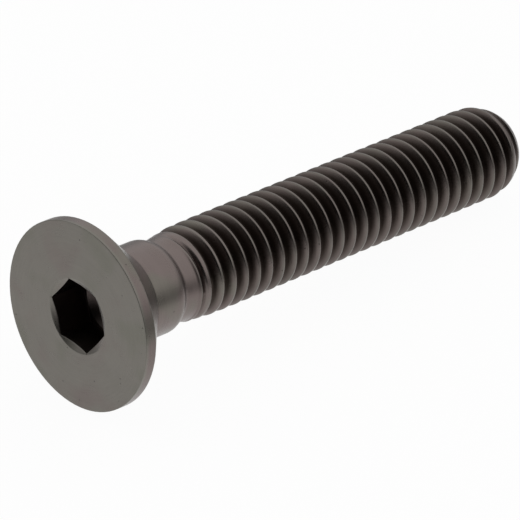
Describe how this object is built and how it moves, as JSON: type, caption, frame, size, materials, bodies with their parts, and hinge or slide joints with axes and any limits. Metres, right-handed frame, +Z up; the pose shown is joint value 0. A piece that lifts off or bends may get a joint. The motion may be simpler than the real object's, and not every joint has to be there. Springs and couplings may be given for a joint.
{
  "type": "countersunk socket screw",
  "caption": "Metric countersunk screw with a hexagon socket, a plain shoulder, a relieved neck and a rolled thread; it holds plates flush.",
  "frame": {"origin": "on the floor, under the middle of the screw's bounding box as it lies at rest", "axes": "+X runs along the floor from the head to the point, +Z is up; the screw's own axis dips 5.28 degrees below +X towards the point, because the screw lies on the rim of its head and the last turns of its thread"},
  "size_m": [0.0358, 0.0118, 0.0118],
  "materials": {
    "screw_metal": "satin grey-brown metal, turned head and rolled thread"
  },
  "bodies": {
    "root": {"screw": "screw_metal"}
  },
  "joints": []
}
